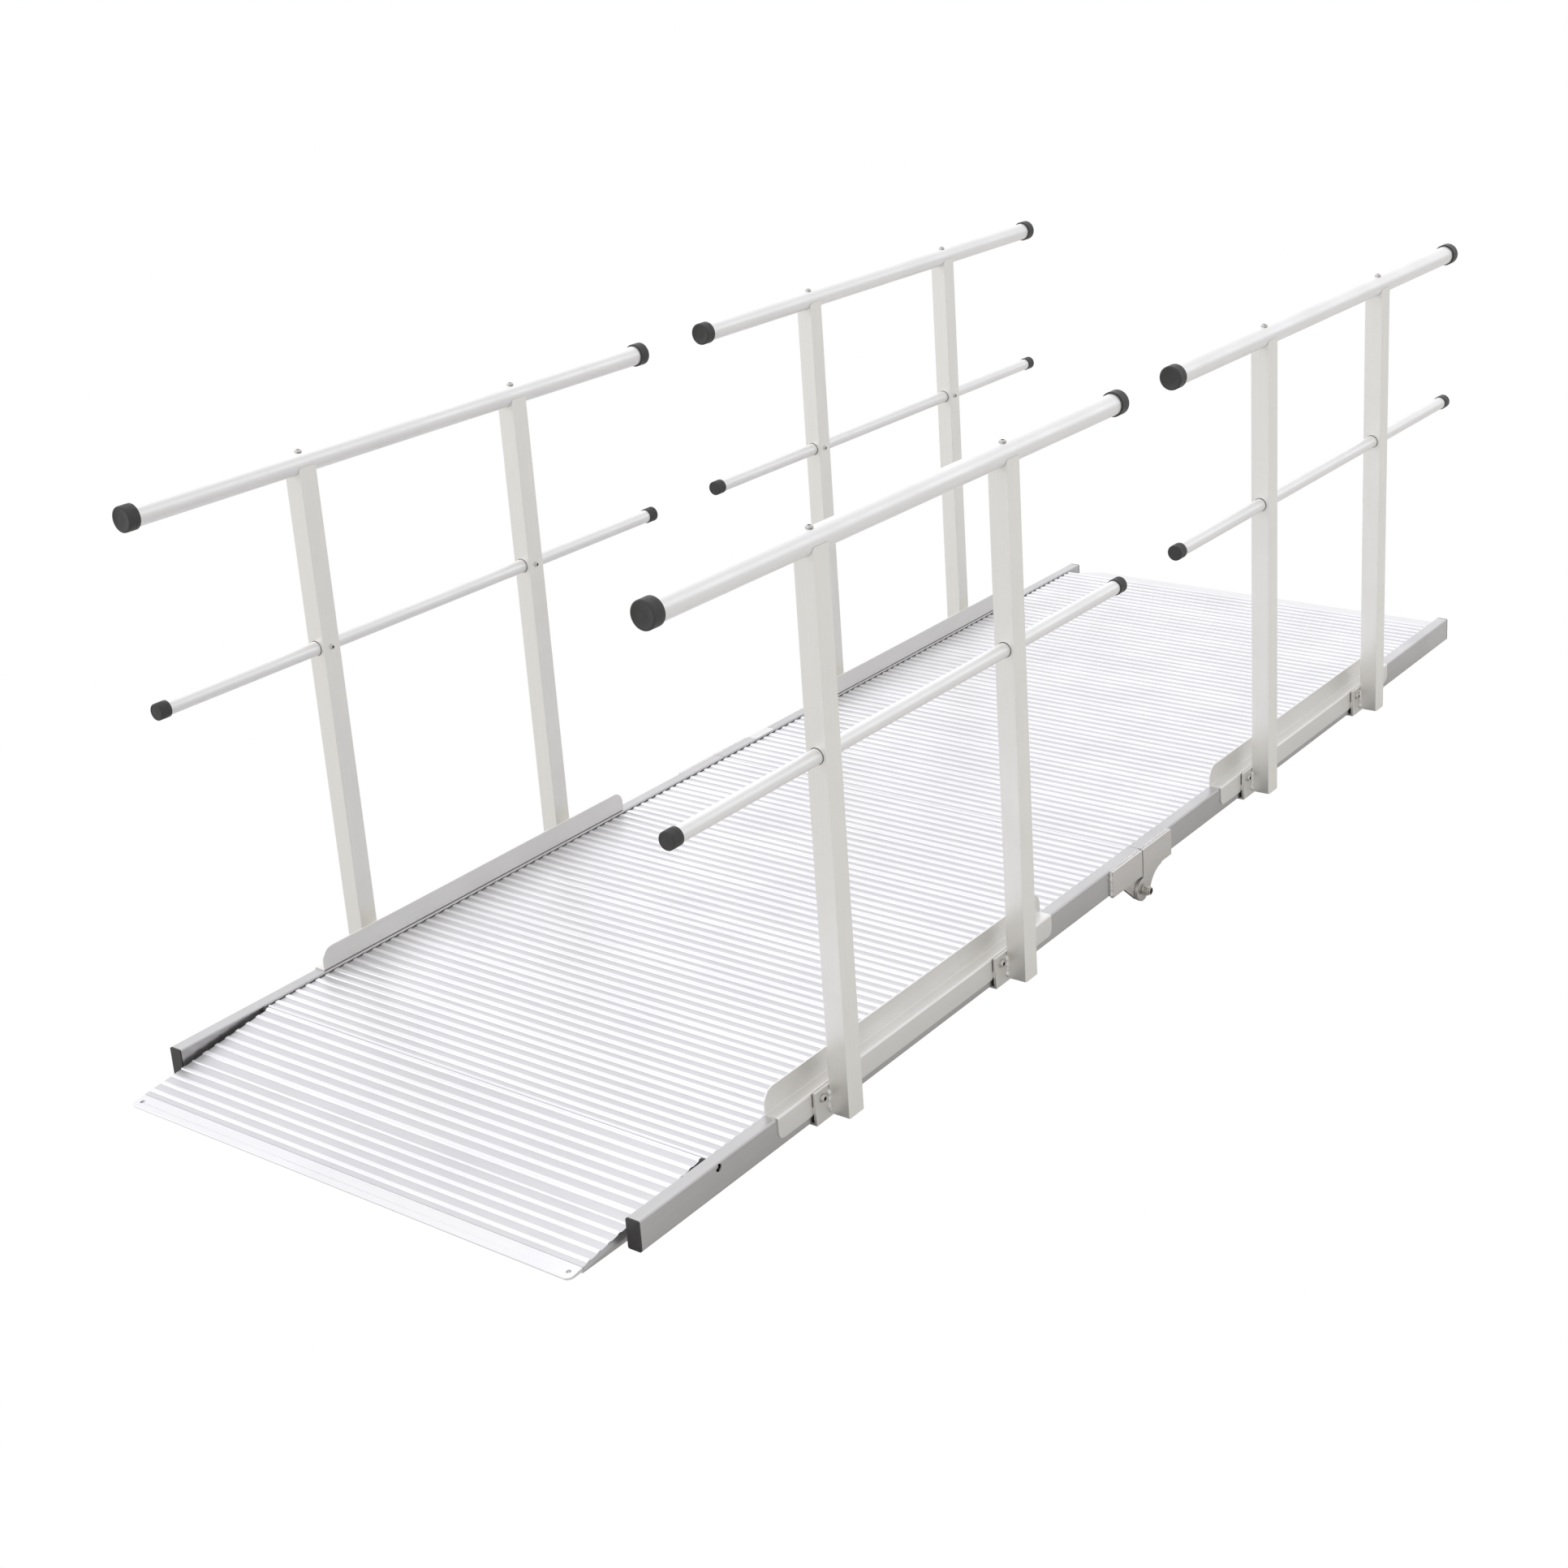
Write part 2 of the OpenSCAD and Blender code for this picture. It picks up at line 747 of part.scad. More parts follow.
module front_top_rail_left() { color("whitesmoke") placed() mirror([1, 0, 0]) top_rail(front_guard_y); }
module front_top_rail_right() { color("whitesmoke") placed() top_rail(front_guard_y); }
module rear_top_rail_left() { color("whitesmoke") placed() mirror([1, 0, 0]) top_rail(rear_guard_y); }
module rear_top_rail_right() { color("whitesmoke") placed() top_rail(rear_guard_y); }

module lower_rail(guard_y) {
  mid = guard_y + guard_l / 2;
  difference() {
    translate([post_x, mid, low_z]) difference() {
      rod_along_y(low_r, -low_l / 2 + cap_t, low_l / 2 - cap_t);
      rod_along_y(low_r - low_tube_wall, -low_l / 2, low_l / 2);
    }
    for (py = post_ys)
      translate([post_x, guard_y + py, low_z]) rod_along_x(pin_r + clamp_fit, -low_r - 1, 0);
  }
}

module front_lower_rails() { color("whitesmoke") placed() both_sides() lower_rail(front_guard_y); }
module rear_lower_rails() { color("whitesmoke") placed() both_sides() lower_rail(rear_guard_y); }

// A cap pushed over a tube's end, its closed face at y = 0 and its mouth towards +Y
module tube_cap(r, wall) {
  difference() {
    rod_along_y(r + wall, 0, cap_l);
    rod_along_y(r + cap_fit, cap_t, cap_l + 1);
  }
}

module tube_caps(guard_y) {
  mid = guard_y + guard_l / 2;
  placed() both_sides() translate([post_x, mid, 0]) for (turn = [0, 1]) mirror([0, turn, 0]) {
    translate([0, -top_l / 2, top_z]) tube_cap(top_r, cap_wall);
    translate([0, -low_l / 2, low_z]) tube_cap(low_r, low_cap_wall);
  }
}

module front_tube_caps() { color("#2b2a29") tube_caps(front_guard_y); }
module rear_tube_caps() { color("#2b2a29") tube_caps(rear_guard_y); }

// Pan-head screw pointing down, its head resting at z = 0, with a hexagon socket
module pan_screw(r, head_r, head_h, l) {
  socket = head_h * 0.6;
  translate([0, 0, -l]) cylinder(r = r, h = l);
  difference() {
    rotate_extrude() polygon([
      [0, 0], [head_r, 0], [head_r, head_h * 0.35], [head_r * 0.82, head_h * 0.8],
      [head_r * 0.5, head_h], [0, head_h]
    ]);
    translate([0, 0, head_h - socket]) cylinder(r = head_r * 0.42, h = socket + 1, $fn = 6);
  }
}

module tube_screws(guard_y) {
  at_posts(guard_y) {
    translate([0, 0, top_z + top_r + screw_seat]) pan_screw(screw_r, screw_head_r, screw_head_h, screw_l);
    translate([-post_w / 2 - screw_seat, 0, low_z]) rotate([0, -90, 0])
      pan_screw(pin_r, side_head_r, side_head_h, side_screw_l);
  }
}

module front_tube_screws() { color("silver") tube_screws(front_guard_y); }
module rear_tube_screws() { color("silver") tube_screws(rear_guard_y); }

// ---- The whole ramp ----

front_rail_left();
front_rail_right();
front_ledges();
front_rail_plugs();
for (n = [1 : front_planks]) front_plank(n);
flap_rod();
flap_spacers();
flap_rear_plank();
flap_front_plank();
flap_nosing();
flap_skirts();
rear_rail_left();
rear_rail_right();
rear_ledges();
rear_rail_plugs();
for (n = [1 : rear_planks]) rear_plank(n);
rear_lip();
front_hinge_plates();
front_hinge_lugs();
rear_hinge_arms();
pivot_bolts();
pivot_washers();
pivot_nuts();
front_guard_left();
front_guard_right();
rear_guard_left();
rear_guard_right();
front_posts();
rear_posts();
front_post_plugs();
rear_post_plugs();
front_brackets();
rear_brackets();
front_clamp_bolts();
rear_clamp_bolts();
front_top_rail_left();
front_top_rail_right();
rear_top_rail_left();
rear_top_rail_right();
front_lower_rails();
rear_lower_rails();
front_tube_caps();
rear_tube_caps();
front_tube_screws();
rear_tube_screws();
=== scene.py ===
import json
import math

import bmesh
import bpy
from mathutils import Matrix, Vector, noise

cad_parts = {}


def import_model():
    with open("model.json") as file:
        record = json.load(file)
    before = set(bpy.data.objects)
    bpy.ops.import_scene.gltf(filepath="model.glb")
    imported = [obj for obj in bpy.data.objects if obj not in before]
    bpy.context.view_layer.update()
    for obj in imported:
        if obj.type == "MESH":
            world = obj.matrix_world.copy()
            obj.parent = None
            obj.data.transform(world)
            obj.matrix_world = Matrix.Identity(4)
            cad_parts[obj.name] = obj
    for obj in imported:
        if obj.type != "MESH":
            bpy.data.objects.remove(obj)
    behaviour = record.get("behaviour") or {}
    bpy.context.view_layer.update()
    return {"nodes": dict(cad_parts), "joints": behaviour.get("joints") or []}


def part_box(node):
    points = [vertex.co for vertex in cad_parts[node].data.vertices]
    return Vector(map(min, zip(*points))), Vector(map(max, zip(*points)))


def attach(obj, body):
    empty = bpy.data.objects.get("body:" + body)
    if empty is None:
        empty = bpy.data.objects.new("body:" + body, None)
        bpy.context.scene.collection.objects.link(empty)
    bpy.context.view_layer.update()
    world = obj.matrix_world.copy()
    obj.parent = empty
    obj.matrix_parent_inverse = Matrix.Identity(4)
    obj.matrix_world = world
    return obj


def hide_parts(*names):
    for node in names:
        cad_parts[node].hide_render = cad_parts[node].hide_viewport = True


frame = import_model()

MM = 0.001
X, Y, Z = Vector((1, 0, 0)), Vector((0, 1, 0)), Vector((0, 0, 1))
SIDES = (-1, 1)
PLANKS = {"front": 8, "rear": 9}


# ---------------------------------------------------------------- materials

class Graph:
    """A small builder for node materials."""

    # sockets of a Mix node that mixes colours
    FACTOR, COLOUR_A, COLOUR_B, MIXED = 0, 6, 7, 2

    def __init__(self, name):
        self.mat = bpy.data.materials.new(name)
        self.mat.use_nodes = True
        self.tree = self.mat.node_tree
        self.tree.nodes.clear()
        self.out = self.add("ShaderNodeOutputMaterial")
        self.bsdf = self.add("ShaderNodeBsdfPrincipled")
        self.link(self.bsdf.outputs["BSDF"], self.out.inputs["Surface"])
        self.coords = self.add("ShaderNodeTexCoord").outputs["Object"]

    def add(self, kind, **inputs):
        node = self.tree.nodes.new(kind)
        for key, value in inputs.items():
            node.inputs[key].default_value = value
        return node

    def link(self, a, b):
        self.tree.links.new(a, b)

    def noise(self, scale, detail=3.0, rough=0.55, stretch=(1, 1, 1)):
        mapping = self.add("ShaderNodeMapping", Scale=stretch)
        self.link(self.coords, mapping.inputs["Vector"])
        node = self.add("ShaderNodeTexNoise", Scale=scale, Detail=detail, Roughness=rough)
        self.link(mapping.outputs["Vector"], node.inputs["Vector"])
        return node.outputs["Fac"]

    def remap(self, value, span=(0, 1), to=(0, 1)):
        """Takes the values in span to those in to, and holds the ones outside at its ends."""
        node = self.add("ShaderNodeMapRange")
        node.clamp = True
        for key, number in zip(("From Min", "From Max", "To Min", "To Max"), (*span, *to)):
            node.inputs[key].default_value = number
        self.link(value, node.inputs["Value"])
        return node.outputs["Result"]

    def mix(self, fac, a, b):
        """Mixes two colours, each given as a socket or as three numbers."""
        node = self.add("ShaderNodeMix")
        node.data_type = "RGBA"
        self.link(fac, node.inputs[self.FACTOR])
        for slot, colour in ((self.COLOUR_A, a), (self.COLOUR_B, b)):
            if isinstance(colour, bpy.types.NodeSocket):
                self.link(colour, node.inputs[slot])
            else:
                node.inputs[slot].default_value = (*colour, 1)
        return node.outputs[self.MIXED]

    def bump(self, heights):
        """Stacks bumps, each given as (height, strength, distance)."""
        normal = None
        for height, strength, distance in heights:
            node = self.add("ShaderNodeBump", Strength=strength, Distance=distance)
            self.link(height, node.inputs["Height"])
            if normal is not None:
                self.link(normal, node.inputs["Normal"])
            normal = node.outputs["Normal"]
        self.link(normal, self.bsdf.inputs["Normal"])


def shade(rgb, k):
    return tuple(min(1.0, c * k) for c in rgb)


# noise scales, in cells per metre
STREAKS_ALONG = 5.0
STREAKS_ACROSS = 620.0


def metal(name, rgb, rough, along, contrast=0.05, grain=0.25):
    """Drawn metal: streaks along one axis, cloudy handling marks, fine grain."""
    g = Graph(name)
    stretch = [STREAKS_ACROSS] * 3
    stretch["XYZ".index(along)] = STREAKS_ALONG
    streaks = g.noise(1.0, detail=4.0, rough=0.6, stretch=stretch)
    clouds = g.noise(9.0)
    marks = g.remap(g.noise(55.0, detail=5.0, rough=0.7), span=(0.6, 0.72))
    fine = g.noise(1900.0, detail=2.0)
    base = g.mix(streaks, shade(rgb, 1 - contrast), shade(rgb, 1 + contrast))
    base = g.mix(g.remap(clouds, span=(0.35, 0.7), to=(0, 0.35)), base, shade(rgb, 1 - 1.8 * contrast))
    base = g.mix(g.remap(marks, to=(0, 0.10)), base, shade(rgb, 0.72))
    g.link(base, g.bsdf.inputs["Base Color"])
    g.link(g.remap(clouds, span=(0.3, 0.7), to=(rough - 0.05, rough + 0.07)), g.bsdf.inputs["Roughness"])
    g.bsdf.inputs["Metallic"].default_value = 1.0
    g.bump([(streaks, grain, 0.05 * MM), (fine, grain, 0.04 * MM), (clouds, 0.2, 0.3 * MM)])
    return g.mat


def plastic(name, rgb, rough):
    """Moulded black plastic: fine spark-eroded texture, dull scuffs."""
    g = Graph(name)
    grit = g.noise(2600.0, detail=2.0)
    clouds = g.noise(30.0, detail=4.0)
    scuffs = g.remap(g.noise(240.0, detail=5.0, rough=0.7), span=(0.6, 0.75))
    base = g.mix(clouds, shade(rgb, 0.8), shade(rgb, 1.25))
    base = g.mix(g.remap(scuffs, to=(0, 0.35)), base, shade(rgb, 2.6))
    g.link(base, g.bsdf.inputs["Base Color"])
    g.link(g.remap(grit, span=(0.3, 0.7), to=(rough - 0.07, rough + 0.1)), g.bsdf.inputs["Roughness"])
    g.bump([(grit, 0.35, 0.06 * MM), (scuffs, 0.15, 0.05 * MM)])
    return g.mat


def weld_metal(name, rgb):
    """As-welded aluminium: frosted, with patches of soot."""
    g = Graph(name)
    soot = g.noise(160.0, detail=4.0, rough=0.65)
    fine = g.noise(2200.0)
    base = g.mix(g.remap(soot, span=(0.35, 0.7), to=(0, 0.7)), rgb, shade(rgb, 0.62))
    g.link(base, g.bsdf.inputs["Base Color"])
    g.link(g.remap(fine, span=(0.3, 0.7), to=(0.38, 0.56)), g.bsdf.inputs["Roughness"])
    g.bsdf.inputs["Metallic"].default_value = 1.0
    g.bump([(soot, 0.4, 0.2 * MM), (fine, 0.4, 0.06 * MM)])
    return g.mat


def sticker(name, rgb):
    """Blank vinyl label, slightly stained and creased."""
    g = Graph(name)
    stain = g.noise(70.0, detail=4.0)
    fine = g.noise(900.0, detail=2.0)
    base = g.mix(g.remap(stain, span=(0.4, 0.75), to=(0, 0.5)), rgb, shade(rgb, 0.9))
    g.link(base, g.bsdf.inputs["Base Color"])
    g.link(g.remap(fine, span=(0.3, 0.7), to=(0.32, 0.46)), g.bsdf.inputs["Roughness"])
    g.bump([(stain, 0.25, 0.15 * MM), (fine, 0.2, 0.03 * MM)])
    return g.mat


def ground(name, light, dark):
    """Matt pale floor."""
    g = Graph(name)
    g.link(g.mix(g.noise(3.0), light, dark), g.bsdf.inputs["Base Color"])
    g.bsdf.inputs["Roughness"].default_value = 0.9
    g.bsdf.inputs["Specular IOR Level"].default_value = 0.0
    return g.mat


RAIL = metal("rail_aluminium", (0.565, 0.557, 0.555), 0.34, "Y", contrast=0.07)
SHEET = metal("guard_aluminium", (0.84, 0.83, 0.805), 0.42, "Y", contrast=0.04)
POST = metal("post_aluminium", (0.88, 0.87, 0.835), 0.42, "Z", contrast=0.04)
TUBE = metal("tube_aluminium", (0.87, 0.865, 0.855), 0.44, "Y", contrast=0.03, grain=0.15)
BRACKET = metal("bracket_aluminium", (0.78, 0.77, 0.74), 0.42, "Z", contrast=0.06)
HINGE = metal("hinge_aluminium", (0.71, 0.695, 0.67), 0.34, "Y", contrast=0.08)
VALLEY = metal("deck_aluminium", (0.67, 0.665, 0.68), 0.38, "X", contrast=0.04, grain=0.3)
# the ribs take a lighter copy of the deck's aluminium: a painted highlight where raised ribs catch the light
RIB_HIGHLIGHT = metal("rib_painted_highlight", (0.87, 0.865, 0.875), 0.40, "X", contrast=0.02, grain=0.2)
PLAIN = metal("plain_aluminium", (0.83, 0.825, 0.835), 0.40, "X", contrast=0.03)
STEEL = metal("zinc_steel", (0.60, 0.585, 0.55), 0.28, "Z", contrast=0.08)
# a near-black copy of the steel: painted shade inside screw sockets and nut bores
SOCKET_SHADE = metal("socket_painted_shade", (0.10, 0.098, 0.095), 0.5, "Z", contrast=0.2)
BLACK = plastic("black_plastic", (0.030, 0.029, 0.028), 0.42)
WELD = weld_metal("weld_aluminium", (0.86, 0.85, 0.83))
LABEL = sticker("blank_label", (0.85, 0.85, 0.84))
FLOOR = ground("floor_white", (0.75, 0.74, 0.715), (0.73, 0.72, 0.695))


# ---------------------------------------------------------------- the CAD's own pieces

# words in a node's name and the finish they mean; the first row that fits is taken
FINISHES = (
    (("plug", "spacer", "cap"), BLACK),
    (("screws", "bolts", "pivot_washers", "pivot_nuts", "flap_rod"), STEEL),
    (("flap_nosing", "rear_lip"), PLAIN),
    (("plank",), VALLEY),
    (("guard",), SHEET),
    (("posts",), POST),
    (("brackets",), BRACKET),
    (("hinge",), HINGE),
    (("top_rail", "lower_rails"), TUBE),
)
TUBE_EDGE = 0.25 * MM
OTHER_EDGE = 0.35 * MM
EDGE_ANGLE = math.radians(28)
SEAM = 1e-6


def finish_for(name):
    for words, mat in FINISHES:
        if any(word in name for word in words):
            return mat
    return RAIL


def edge_for(name):
    """Width of the softened edge."""
    square_tube = "_rail_" in name and "top" not in name or "posts" in name
    return TUBE_EDGE if square_tube else OTHER_EDGE


def dress(name, obj):
    """Gives a CAD piece its finish, smooth faces and slightly rounded edges."""
    mesh = obj.data
    mesh.materials.clear()
    mesh.materials.append(finish_for(name))
    for attr in ("custom_normal", "sharp_edge", "sharp_face"):
        if attr in mesh.attributes:
            mesh.attributes.remove(mesh.attributes[attr])
    mesh.shade_smooth()
    weld = obj.modifiers.new("join_seams", "WELD")
    weld.merge_threshold = SEAM
    bevel = obj.modifiers.new("soft_edges", "BEVEL")
    bevel.width = edge_for(name)
    bevel.segments = 2
    bevel.limit_method = "ANGLE"
    bevel.angle_limit = EDGE_ANGLE
    bevel.use_clamp_overlap = True
    flat = obj.modifiers.new("flat_faces", "WEIGHTED_NORMAL")
    flat.weight = 90
    flat.keep_sharp = False


for name, obj in frame["nodes"].items():
    dress(name, obj)


# ---------------------------------------------------------------- where things are

def corners(*names):
    """Low and high corner of the box round some nodes."""
    boxes = [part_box(n) for n in names]
    low = Vector([min(b[0][i] for b in boxes) for i in range(3)])
    high = Vector([max(b[1][i] for b in boxes) for i in range(3)])
    return low, high


def joint_at(name):
    return Vector(next(j for j in frame["joints"] if j["name"] == name)["pos_m"])


rail_lo, rail_hi = corners("front_rail_right")
deck_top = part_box("front_plank_4")[1].z
rod = joint_at("ground_flap")
pivot = joint_at("fold")


# ---------------------------------------------------------------- building helpers

def piece(name, bm, body, mats, smooth=40, replaces=()):
    """Turns a bmesh into an object of the ramp that rides on a CAD body. Edges over smooth degrees
    stay sharp."""
    bmesh.ops.remove_doubles(bm, verts=bm.verts, dist=1e-7)
    bmesh.ops.recalc_face_normals(bm, faces=bm.faces)
    mesh = bpy.data.meshes.new(name)
    bm.to_mesh(mesh)
    bm.free()
    mesh.shade_smooth()
    mesh.set_sharp_from_angle(angle=math.radians(smooth))
    for mat in mats:
        mesh.materials.append(mat)
    obj = bpy.data.objects.new(name, mesh)
    bpy.context.scene.collection.objects.link(obj)
    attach(obj, body)
    if replaces:
        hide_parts(*replaces)
    return obj


def at(point, axis, hint=Z):
    """A place at point whose local +Z looks along axis."""
    axis = axis.normalized()
    side = hint.cross(axis)
    if side.length < 1e-6:
        side = X.cross(axis)
    side.normalize()
    up = axis.cross(side)
    return Matrix.Translation(point) @ Matrix((side, up, axis)).transposed().to_4x4()


def bridge(bm, a, b):
    """Joins two closed rings, or a ring and a point, and returns the faces in order round the ring."""
    faces = []
    steps = max(len(a), len(b))
    for i in range(steps):
        j = (i + 1) % steps
        if len(a) == 1:
            face = (a[0], b[i], b[j])
        elif len(b) == 1:
            face = (a[i], a[j], b[0])
        else:
            face = (a[i], a[j], b[j], b[i])
        faces.append(bm.faces.new(face))
    return faces


def revolve(bm, profile, place, steps=48, radius_at=None, second=None):
    """Turns (radius, height) points about local Z. radius_at(i, r, h) may shape each step.
    Faces that start at point number second or later take the second material."""
    rings = []
    for r, h in profile:
        if r == 0:
            rings.append([bm.verts.new(place @ Vector((0, 0, h)))])
            continue
        ring = []
        for i in range(steps):
            a = 2 * math.pi * i / steps
            rr = radius_at(i, r, h) if radius_at else r
            ring.append(bm.verts.new(place @ Vector((rr * math.cos(a), rr * math.sin(a), h))))
        rings.append(ring)
    for k, (a, b) in enumerate(zip(rings, rings[1:])):
        for face in bridge(bm, a, b):
            face.material_index = 1 if second is not None and k >= second else 0


def hexagon_radius(i, steps, flats):
    """Distance from the centre of a hexagon's outline at step i, for half its width over the flats."""
    turn = math.radians(60)
    return flats / math.cos((2 * math.pi * i / steps) % turn - turn / 2)


def quarter(count):
    """Angles from 0 to 90 degrees in equal steps."""
    return [math.pi / 2 * k / count for k in range(count + 1)]


# ---------------------------------------------------------------- ribbed planks

# which material a face of a plank takes: the plain deck colour, or the lighter copy with the painted
# highlight on ribs, the joint's slope and the knuckle's top
IN_VALLEY, PAINTED_HIGHLIGHT = 0, 1
# a rib's rounded shoulder: how far in from its side, and the share of its height there
SHOULDER = ((0.0, 0.0), (0.55 * MM, 0.82), (0.85 * MM, 0.95), (1.35 * MM, 1.0))
# half of the CAD's gap between two planks, and how far each side of it is moved into it
JOIN = 0.15 * MM
SQUEEZE = 0.12 * MM
FOLD_SQUEEZE = 0.28 * MM
# bevel along a plank's edge
CHAMFER = 0.12 * MM

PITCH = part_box("front_plank_5")[1].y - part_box("front_plank_4")[1].y
RIB_H = 1.6 * MM
RIB_W = 7.6 * MM
RIB_STEP = 18.2 * MM
RIB_START = 17 * MM
RIB_COUNT = 6
JOINT_RIB_W = 9.4 * MM
JOINT_REACH = 1 * MM
CUT_CORNER = 0.5 * MM
SLOPE_RUN = 2.4 * MM
SLOPE_DROP = RIB_H - 0.1 * MM


def rib_rise(y, width, height, base):
    """Front half of a rib's outline, in order of rising y, as (y, z, material)."""
    return [(y - (width / 2 - inset), base + height * share, PAINTED_HIGHLIGHT) for inset, share in SHOULDER]


def rib_fall(y, width, height, base):
    """Back half of a rib's outline. The face after it is a valley."""
    points = [(y + (width / 2 - inset), base + height * share, PAINTED_HIGHLIGHT) for inset, share in SHOULDER[::-1]]
    end_y, end_z, _ = points[-1]
    return points[:-1] + [(end_y, end_z, IN_VALLEY)]


def rib(y, width, height, base):
    return rib_rise(y, width, height, base) + rib_fall(y, width, height, base)


def extrusion(name, outline, width, body, replaces, place=Matrix.Identity(4)):
    """A bar across the ramp. outline holds (y, z, material of the face that starts here), in order
    round the bar."""
    bm = bmesh.new()
    ends = [[bm.verts.new(place @ Vector((sx * width / 2, y, z))) for y, z, _ in outline] for sx in SIDES]
    bm.faces.new(ends[0][::-1])
    bm.faces.new(ends[1])
    for face, (_, _, material) in zip(bridge(bm, *ends), outline):
        face.material_index = material
    # faces of the second material, the lighter copy, carry a painted highlight
    return piece(name, bm, body, [VALLEY, RIB_HIGHLIGHT], 35, [replaces])


def deck_plank(panel, n):
    """One plank. A panel's planks are pushed together, so that only a hairline shows between them."""
    node = f"{panel}_plank_{n}"
    low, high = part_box(node)
    beside_flap = node == "front_plank_1"
    joint_y = high.y + JOIN - PITCH
    y0 = max(low.y, joint_y + JOIN)
    y1 = high.y
    if n > 1:
        y0 -= SQUEEZE
    elif beside_flap:
        y0 -= FOLD_SQUEEZE
    if n < PLANKS[panel]:
        y1 += SQUEEZE
    face = deck_top - RIB_H
    outline = [(y1, low.z, IN_VALLEY), (y0, low.z, IN_VALLEY)]
    if y0 - joint_y < JOINT_REACH:
        # the rib over the joint; behind the flap's knuckle it has a slope, so that it casts no dark line
        run, drop = (SLOPE_RUN, SLOPE_DROP) if beside_flap else (CHAMFER, CHAMFER)
        outline += [(y0, deck_top - drop, PAINTED_HIGHLIGHT), (y0 + run, deck_top, PAINTED_HIGHLIGHT)]
        outline += rib_fall(joint_y, JOINT_RIB_W, RIB_H, face)
    else:
        outline += [(y0, face - CUT_CORNER, IN_VALLEY), (y0 + CUT_CORNER, face, IN_VALLEY)]
    for k in range(RIB_COUNT):
        outline += rib(joint_y + RIB_START + k * RIB_STEP, RIB_W, RIB_H, face)
    outline += rib_rise(joint_y + PITCH, JOINT_RIB_W, RIB_H, face)
    outline += [(y1 - CHAMFER, deck_top, PAINTED_HIGHLIGHT), (y1, deck_top - CHAMFER, IN_VALLEY)]
    extrusion(f"{panel}_deck_{n}", outline, high.x - low.x, f"{panel}_panel", node)


for panel, count in PLANKS.items():
    for n in range(1, count + 1):
        deck_plank(panel, n)


# ---------------------------------------------------------------- ground flap

# the flap's section, from the rod's axis, before the flap is tilted down by FLAP_SLOPE
FLAP_SLOPE = math.radians(6.6)
FLAP_FACE = 2.2 * MM
FLAP_UNDER = -6.8 * MM
FLAP_THIN = 5 * MM
FLAP_SPLIT = 111 * MM
NOSING_START = 212 * MM
FLAP_RIB_H = 1.4 * MM
FLAP_TOP = FLAP_FACE + FLAP_RIB_H
FLAP_JOINT_RIB_W = 9 * MM
REAR_RIB_START = 18.5 * MM
REAR_RIB_STEP = 18.2 * MM
REAR_RIB_W = 7 * MM
REAR_RIB_COUNT = 5
FRONT_RIB_START = 148.5 * MM
FRONT_RIB_STEP = 17.6 * MM
FRONT_RIB_W = 6.4 * MM
FRONT_RIB_COUNT = 4
NARROW_RIB_AT = 131.5 * MM
NARROW_RIB_W = 3.6 * MM
KNUCKLE_R = 4.7 * MM
KNUCKLE_END = math.radians(-120)
KNUCKLE_STEPS = 24
# height above the rod's axis from which the knuckle's top takes the painted highlight
KNUCKLE_HIGHLIGHT_Z = 2.6 * MM
HEEL_Y = -4 * MM

flap_place = Matrix.Translation(rod) @ Matrix.Rotation(FLAP_SLOPE, 4, "X")
flap_lo, flap_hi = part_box("flap_rear_plank")


def flap_rib(distance, width):
    return rib(-distance, width, FLAP_RIB_H, FLAP_FACE)


def knuckle():
    """The round back of the flap, from its top face over the rod and down behind it. Its upper part takes the
    painted highlight.
    """
    start = math.atan2(FLAP_FACE, -math.sqrt(KNUCKLE_R ** 2 - FLAP_FACE ** 2))
    points = []
    for k in range(KNUCKLE_STEPS + 1):
        a = start + (KNUCKLE_END - start) * k / KNUCKLE_STEPS
        y, z = KNUCKLE_R * math.cos(a), KNUCKLE_R * math.sin(a)
        points.append((y, z, PAINTED_HIGHLIGHT if z > KNUCKLE_HIGHLIGHT_Z else IN_VALLEY))
    return points


def flap_rear():
    """The flap's plank with the knuckle."""
    y0 = JOIN - SQUEEZE - FLAP_SPLIT
    outline = [(y0, FLAP_TOP - CHAMFER, PAINTED_HIGHLIGHT), (y0 + CHAMFER, FLAP_TOP, PAINTED_HIGHLIGHT)]
    outline += rib_fall(-FLAP_SPLIT, FLAP_JOINT_RIB_W, FLAP_RIB_H, FLAP_FACE)
    for k in reversed(range(REAR_RIB_COUNT)):
        outline += flap_rib(REAR_RIB_START + k * REAR_RIB_STEP, REAR_RIB_W)
    outline += knuckle()
    outline.append((HEEL_Y, -math.sqrt(KNUCKLE_R ** 2 - HEEL_Y ** 2), IN_VALLEY))
    outline += [(HEEL_Y, FLAP_UNDER, IN_VALLEY), (y0, FLAP_UNDER, IN_VALLEY)]
    extrusion("flap_deck_rear", outline, flap_hi.x - flap_lo.x, "front_flap", "flap_rear_plank", flap_place)


